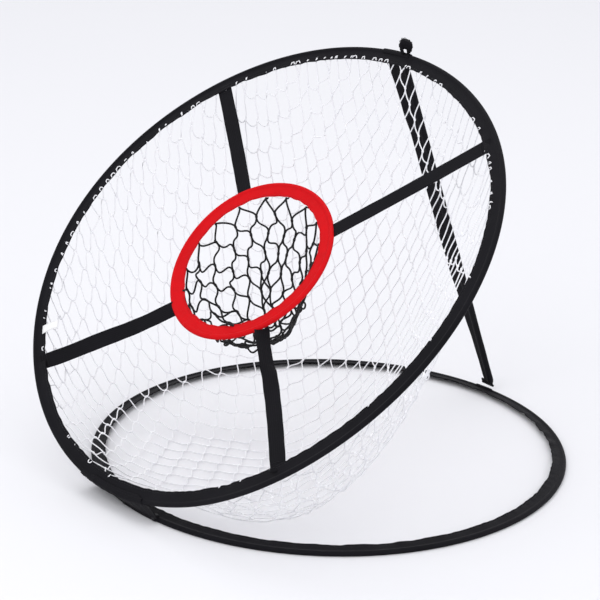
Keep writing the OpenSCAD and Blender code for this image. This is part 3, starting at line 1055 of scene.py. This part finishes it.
def pocket_cords(index, counts):
    """Cord ends: each knot to two in the row below, then a ring round the last row."""
    ea, eb = [], []
    for (i, j), k in index.items():
        if i == POCKET_ROWS:
            continue
        below = counts[i + 1]
        x = (j + 0.5 * (i % 2)) / counts[i] * below - 0.5 * ((i + 1) % 2)
        left = int(math.floor(x + 1e-6))
        for q in sorted({left % below, (left + 1) % below}):
            ea.append(k)
            eb.append(index[(i + 1, q)])
    down_count = len(ea)
    last = counts[POCKET_ROWS]
    for j in range(last):
        ea.append(index[(POCKET_ROWS, j)])
        eb.append(index[(POCKET_ROWS, (j + 1) % last)])
    return np.array(ea), np.array(eb), down_count


def settle_pocket():
    """Points (knots, cord middles), cord ends, knot count, directions, downward cord count."""
    rng = np.random.RandomState(3)
    low = lean(RING_C) + np.array([25.0, 29.0, -91.0])
    index, knots, counts = pocket_knots(low, rng)
    ea, eb, down_count = pocket_cords(index, counts)
    free = np.ones(len(knots))
    free[:POCKET_TIES] = 0
    rest = POCKET_MESH * rng.uniform(0.80, 1.20, len(ea))
    points, free, ia, ib = add_middles(knots, free, ea, eb, rng, scatter=3.2)

    def keep_up(points, free):
        points[:, 2] = np.where(free > 0, np.maximum(points[:, 2], low[2] - 4), points[:, 2])
        return points

    points = relax(points, free, ia, ib, np.concatenate([rest / 2, rest / 2]),
                   fold_limit=0.72, steps=24, passes=6, gravity=np.array([0, 0, -0.05]),
                   collide=keep_up, damp=0.6)
    count = len(knots)

    def neighbours(at, others):
        """Mean of each knot's neighbours, or the knot itself where it has none."""
        total = np.zeros((count, 3))
        np.add.at(total, at, points[others])
        met = np.bincount(at, minlength=count)[:, None]
        return np.where(met > 0, total / np.maximum(met, 1), points[:count])

    upper, lower = ea[:down_count], eb[:down_count]
    along = neighbours(upper, lower) - neighbours(lower, upper)
    return points, ea, eb, count, unit(along + rng.normal(0, 7.0, (count, 3))), down_count


def build_pocket():
    points, ea, eb, count, along, down_count = settle_pocket()
    middles = points[count:]
    half = (points[ea] + points[eb]) / 2
    bow = np.linalg.norm(middles - half, axis=1)
    # from the third row down, cords bow no more than 3.4
    limit = np.where(eb >= POCKET_TIES * 3, np.minimum(1, 3.4 / np.maximum(bow, 0.1)), 1.0)
    middles = half + (middles - half) * limit[:, None]

    upper, lower = ea[:down_count], eb[:down_count]
    pull = np.random.RandomState(21).uniform(0.45, 0.95, down_count)
    pull = np.where(upper < POCKET_TIES, 0.25,
                    np.where(lower > POCKET_TIES * 5, pull * 0.55, pull))
    straight = unit(points[lower] - points[upper])

    def tame(direction):
        # a cord that would have to turn back on itself leaves its knot straight
        back = (upper >= POCKET_TIES * 4) & ((direction * straight).sum(1) < 0.25)
        return np.where(back[:, None], straight, direction)

    cords = Cords(sides=6)
    cords.add(curve_through(points[upper], middles[:down_count], points[lower], 12,
                            tame(along[upper]), tame(along[lower]), pull), POCKET_CORD_R)
    cords.add(curve_through(points[ea[down_count:]], middles[down_count:],
                            points[eb[down_count:]], 7), POCKET_CORD_R)
    cords.knots(points[POCKET_TIES:count], 1.75, along[POCKET_TIES:], stretch=2.1)
    # ties under the inner edge of the red binding
    rim = points[:POCKET_TIES]
    out = unit(rim - lean(RING_C))
    normal = lean_dir(ring_turn(UP))
    cords.add(np.stack([rim, rim + out * 0.8 - normal * 3.1, rim + out * 3.0 - normal * 3.5], 1),
              0.95)
    obj = cords.build("target_pocket_cords", BLACK_CORD)
    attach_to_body(obj, "catch_hoop")
    tuple((lean(RING_C) + OFFSET) / 1000)
    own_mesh(obj)
    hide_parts("target_pocket")


build_pocket()


# ------------------------------------------------------------------ joint between the hoops
def build_gusset():
    """A sewn strip that laps the outside of both folds and bridges the gap between them."""
    left, right = -88, 34
    x = np.linspace(left, right, 90)
    base, base_out, _ = base_frames(x / BASE_WIRE_R)
    hoop, hoop_out, hoop_up = hoop_frames(x / WIRE_R)
    hoop, hoop_out, hoop_up = lean(hoop), lean_dir(hoop_out), lean_dir(hoop_up)
    # lines along the strip, from the base up to the catch hoop's flap
    lap = base + base_out * 3.55 + UP * -0.9
    bridge = base + base_out * 3.5 + UP * 2.2
    top = hoop + hoop_out * 3.7 - hoop_up * 1.0
    over = hoop + hoop_out * 2.2 + hoop_up * 3.3
    flap = hoop - hoop_out * 5.0 + hoop_up * (1.9 + 1.1)
    # its ends run out to nothing between the two folds
    fade = ease(np.clip((right - x) / 22, 0, 1) * np.clip((x - left) / 26, 0, 1))[:, None]

    def fading(line, end):
        return end * (1 - fade) + line * fade

    flap = fading(fading(flap, over), top + hoop_up * 0.6)
    over = fading(over, top + hoop_up * 0.3)
    lap = fading(lap, bridge - UP * 0.4)
    guides = [lap, bridge, top, over, flap]
    rows = []
    for f in np.linspace(0, 1, 19):
        k = min(int(f * 4), 3)
        u = f * 4 - k
        wave = 0.22 * np.sin(x * 0.55 + 5 * f) * math.sin(math.pi * f)
        rows.append(guides[k] * (1 - u) + guides[k + 1] * u + base_out * wave[:, None])
    outer = np.stack(rows, 1)
    normal = np.cross(unit(np.gradient(outer, axis=1)), unit(np.gradient(outer, axis=0)))
    outward = (base_out + hoop_up)[:, None]
    normal = np.where((normal * outward).sum(-1, keepdims=True) < 0, -normal, normal)
    inner = outer - normal * 0.25
    rings = np.concatenate([outer + normal * 0.55, inner[:, ::-1]], 1)
    strip = sweep("hinge_gusset", rings, BINDING)

    def join(obj):
        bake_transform(obj)

    join(strip)
    cords = Cords()
    for column in (2, 10):
        up = normal[:, column]
        stitch_line(cords, outer[:, column] + up * 0.6, up, margin=3, pitch=4.0, length=3.0)
    join(cords.build("hinge_gusset_stitching", THREAD))


build_gusset()

# ------------------------------------------------------------------ prop
PROP_FOOT = np.array([-18.0, BASE_R + 4, 8.0])
PROP_ROD_R = 3.75  # fold of the sleeve round the rod
prop_tip = lean(hoop_wire(math.pi) - np.array([0, 0, 9.5]))
prop_run = np.array([0, *(prop_tip - PROP_FOOT)[1:]])
PROP_LENGTH = float(np.linalg.norm(prop_run))
PROP_AXIS = unit(prop_run)
PROP_FRONT = unit(np.cross(RIGHT, PROP_AXIS))


def build_prop_sleeve():
    stations = 150
    t = np.linspace(0.010, 0.992, stations)
    line = PROP_FOOT + PROP_AXIS * (t * PROP_LENGTH)[:, None]
    widths = np.interp(t, [0, 0.12, 0.4, 0.8, 0.93, 1.0], [14.5, 16.0, 19.5, 21.0, 25.0, 29.0])
    noise = smooth_noise(stations, 480, 60, 31, False) * 0.5
    thick = np.array([0.2, 0.7, 0.95, 0.55, 0.9, 1.0, 1.2]) * 0.95
    sections = []
    for at, width, wave in zip(t, widths, noise):
        flap = width - PROP_ROD_R
        # a bulge part of the way up, and narrower ends
        swell = 1 + 0.10 * math.exp(-((at - 0.42) / 0.012) ** 2) + 0.05 * wave
        if at > 0.989 or at < 0.014:
            swell *= 0.8
        inset = np.array([0.0, 0.3, 1.2, 2.2, 3.0, 5.0, flap - 4.8])
        section = fold_section(inset, thick, flap, PROP_ROD_R * swell,
                               arc_end=150, arc_points=17)
        weight = np.clip((-section[:, 0] - 3) / 14, 0, 1)
        section[:, 1] += (1.1 * wave + 0.5 * math.sin(at * 40)) * weight
        sections.append(section)
    # the sleeve's face turns part of the way towards the right
    turn = np.radians(np.interp(t, [0, 0.15, 0.45, 0.85, 1.0], [0, 6, 26, 26, 16]))[:, None]
    side = RIGHT * np.cos(turn) - PROP_FRONT * np.sin(turn)
    face = PROP_FRONT * np.cos(turn) + RIGHT * np.sin(turn)
    rings = along_frames(line, side, face, np.array(sections))
    obj = sweep("prop_sleeve_fabric", rings, BINDING)
    attach(obj, "prop", replaces="prop_sleeve")
    cords = Cords()
    for column, sign in ((3, 1), (-4, -1)):
        stitch_line(cords, rings[:, column], face * sign, margin=6, pitch=4.2, length=3.2)
    attach(cords.build("prop_sleeve_stitching", THREAD), "prop")


def build_prop_top():
    """The sleeve's flat end runs up under the top of the catch hoop."""
    count, mean_r = 26, 300.0
    x = np.linspace(-38.5, -13.5, count)
    # the hoop's angle at each x, closing in step by step
    angle = np.pi + np.arcsin(-x / mean_r)
    for _ in range(6):
        angle = angle + (hoop_wire(angle)[:, 0] - x) / mean_r
    hoop = hoop_wire(angle)
    end = lean(hoop - np.array([0, 0, 3.9]))
    bend = lean(hoop + np.array([0, -0.8, -8.0]))
    start = (PROP_FOOT + PROP_AXIS * (0.975 * PROP_LENGTH)
             + RIGHT * (x - PROP_FOOT[0])[:, None] + PROP_FRONT * 1.6)
    wave = 0.35 * smooth_noise(count, 26, 7, 51, False)
    rows = []
    for f in np.linspace(0, 1, 12):
        point = (1 - f) ** 2 * start + 2 * f * (1 - f) * bend + f * f * end
        rows.append(point + PROP_FRONT * (wave * math.sin(math.pi * f))[:, None])
    face = np.stack(rows, 1)
    normal = unit(np.cross(np.gradient(face, axis=1), np.gradient(face, axis=0)))
    rings = np.concatenate([face + normal * 0.6, (face - normal * 0.6)[:, ::-1]], 1)
    attach(sweep("prop_top_fabric", rings, BINDING), "prop")


build_prop_sleeve()
build_prop_top()

# ------------------------------------------------------------------ hanging loop
# outer and inner outlines of the folded webbing: across, up
LOOP_OUTER = np.array([
    [2.6, -1.5], [5.6, 2.2], [7.4, 7.6], [6.9, 12.6], [3.2, 15.4],
    [-3.4, 18.2], [-6.6, 14.6], [-7.8, 9.2], [-6.0, 4.4], [-4.6, 0.2]])
LOOP_EYE = np.array([
    [1.3, 2.0], [1.2, 3.4], [1.1, 4.8], [0.6, 6.0], [-0.6, 6.6],
    [-1.8, 6.8], [-2.6, 6.2], [-2.9, 5.0], [-2.6, 3.8], [-2.0, 2.6]])
LOOP_HALF_W = 5.2


def smooth_outline(points, count):
    at = np.linspace(0, len(points) - 1, count)
    line = np.stack([np.interp(at, np.arange(len(points)), points[:, i]) for i in range(2)], -1)
    kernel = np.array([1, 3, 5, 3, 1.0])
    kernel /= kernel.sum()
    padded = np.concatenate([line[:1], line[:1], line, line[-1:], line[-1:]])
    return np.stack([np.convolve(padded[:, i], kernel, "valid") for i in range(2)], -1)


def build_hang_loop():
    """A short piece of wide webbing folded over on itself, with a small eye at its foot."""
    count = 46
    foot = lean(hoop_frames(math.radians(181.5))[0]) + UP * 3.2
    level = np.array([-SIDE_Y, SIDE_X, 0.0])
    depth = np.array([SIDE_X, SIDE_Y, 0.0])

    def at(x, z, out):
        return foot + level * x + UP * z + depth * out

    outer, eye = smooth_outline(LOOP_OUTER, count), smooth_outline(LOOP_EYE, count)
    face_noise = smooth_noise(count, 46, 9, 41, False)
    width_noise = smooth_noise(count, 46, 13, 42, False)
    rings = []
    for q in range(count):
        half_width = LOOP_HALF_W + 0.5 * width_noise[q]
        away = outer[q] - eye[q]
        away = away / np.linalg.norm(away)
        top, bottom = [], []
        for across in np.linspace(-1, 1, 9):
            crown = 0.5 * (1 - across ** 2) + 0.35 * math.sin(5 * across + q * 0.35)
            upper = outer[q] + away * (crown + 0.25 * face_noise[q] - 0.4)
            lower = eye[q] - away * 0.25 * (1 - abs(across))
            top.append(at(*upper, across * half_width))
            bottom.append(at(*lower, across * half_width * 0.92))
        rings.append(np.array(top + bottom[::-1]))

    def hang(obj):
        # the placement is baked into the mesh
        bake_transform(obj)

    obj = sweep("hang_loop_webbing", np.array(rings), WEBBING)
    hang(obj)
    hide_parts("hang_loop")
    cords = Cords()
    for across in (-0.7, 0.7):
        line = np.array([at(x * 1.05, z * 1.03, across * LOOP_HALF_W) for x, z in outer])[2:-2]
        for q in range(0, len(line) - 3, 4):
            cords.add(line[q:q + 3], 0.28)
    obj = cords.build("hang_loop_stitching", THREAD)
    hang(obj)


build_hang_loop()


# ------------------------------------------------------------------ blank care label
def build_care_label():
    """A short ribbon that hangs from the flap's edge at the front left."""
    length, half_thick = 27, 0.18
    angle = math.radians(306.0) + np.linspace(-0.5, 0.5, 5) * 0.034
    rings = []
    for f in np.linspace(0, 1, 9):
        x, z = -(FLAP - 1.0) - length * f, 1.7 + 1.6 * math.sin(2.6 * f)
        top, bottom = (on_hoop(angle, turn_section([x, z + side * half_thick], RISE))
                       for side in (1, -1))
        rings.append(np.concatenate([top, bottom[::-1]]))
    obj = sweep("care_label_ribbon", lean(np.array(rings)), LABEL)
    attach(obj, "catch_hoop", replaces="care_label")


build_care_label()


# ------------------------------------------------------------------ floor, light, camera
def build_floor():
    shader = Shader("floor_paint")
    shader.set({"Base Color": (0.765, 0.765, 0.79, 1), "Roughness": 0.85})
    half = 30
    mesh = bpy.data.meshes.new("floor")
    mesh.from_pydata([(-half, -half, 0), (half, -half, 0), (half, half, 0), (-half, half, 0)],
                     [], [(0, 1, 2, 3)])
    mesh.materials.append(shader.material)
    floor = bpy.data.objects.new("floor", mesh)
    scene.collection.objects.link(floor)


def build_world():
    world = bpy.data.worlds.new("studio")
    scene.world = world
    world.use_nodes = True
    nodes, link = world.node_tree.nodes, world.node_tree.links.new
    light = nodes["Background"]
    light.inputs["Color"].default_value = (0.97, 0.975, 1.0, 1)
    light.inputs["Strength"].default_value = 0.98
    # seen directly, the backdrop has the tone of the far floor
    backdrop = nodes.new("ShaderNodeBackground")
    backdrop.inputs["Color"].default_value = (0.70, 0.70, 0.73, 1)
    ray = nodes.new("ShaderNodeLightPath")
    mix = nodes.new("ShaderNodeMixShader")
    link(ray.outputs["Is Camera Ray"], mix.inputs[0])
    link(light.outputs[0], mix.inputs[1])
    link(backdrop.outputs[0], mix.inputs[2])
    link(mix.outputs[0], nodes["World Output"].inputs[0])


def add_area_light(name, location, target, size, power):
    """A square light; location and target are from the base hoop's centre, in metres."""
    light = bpy.data.lights.new(name, "AREA")
    light.shape = "SQUARE"
    light.size = size
    light.energy = power
    obj = bpy.data.objects.new(name, light)
    obj.location = Vector(location) + Vector(OFFSET_M)
    direction = Vector(target) - Vector(location)
    obj.rotation_euler = direction.to_track_quat("-Z", "Y").to_euler()
    scene.collection.objects.link(obj)


def add_camera():
    data = bpy.data.cameras.new("camera")
    obj = bpy.data.objects.new("camera", data)
    scene.collection.objects.link(obj)
    height, roll = math.radians(20.758), math.radians(1.3724)
    distance = 3.0046
    target = Vector((-0.00225, -0.04813 + OFFSET_M[1], 0.2022))
    level = math.cos(height)
    back = Vector((SIDE_X * level, SIDE_Y * level, math.sin(height)))
    right = (-back).cross(Vector((0, 0, 1))).normalized()
    up = right.cross(-back).normalized()
    x_axis = right * math.cos(roll) + up * math.sin(roll)
    y_axis = -right * math.sin(roll) + up * math.cos(roll)
    place = target + back * distance
    rows = [tuple(row) for row in zip(x_axis, y_axis, back, place)]
    obj.matrix_world = Matrix((*rows, (0, 0, 0, 1)))
    data.sensor_width = 36
    data.lens = 157.3458
    data.clip_end = 100
    scene.camera = obj


build_floor()
build_world()
add_area_light("key", location=(0.6, -2.6, 2.6), target=(0, 0, 0.2), size=2.2, power=34)
add_area_light("fill", location=(2.8, 0.4, 1.6), target=(0, 0, 0.2), size=2.0, power=12)
add_area_light("top", location=(-0.6, 0.8, 3.0), target=(0, 0, 0.1), size=2.6, power=16)
add_camera()
scene.view_settings.view_transform = "Standard"
scene.view_settings.look = "None"
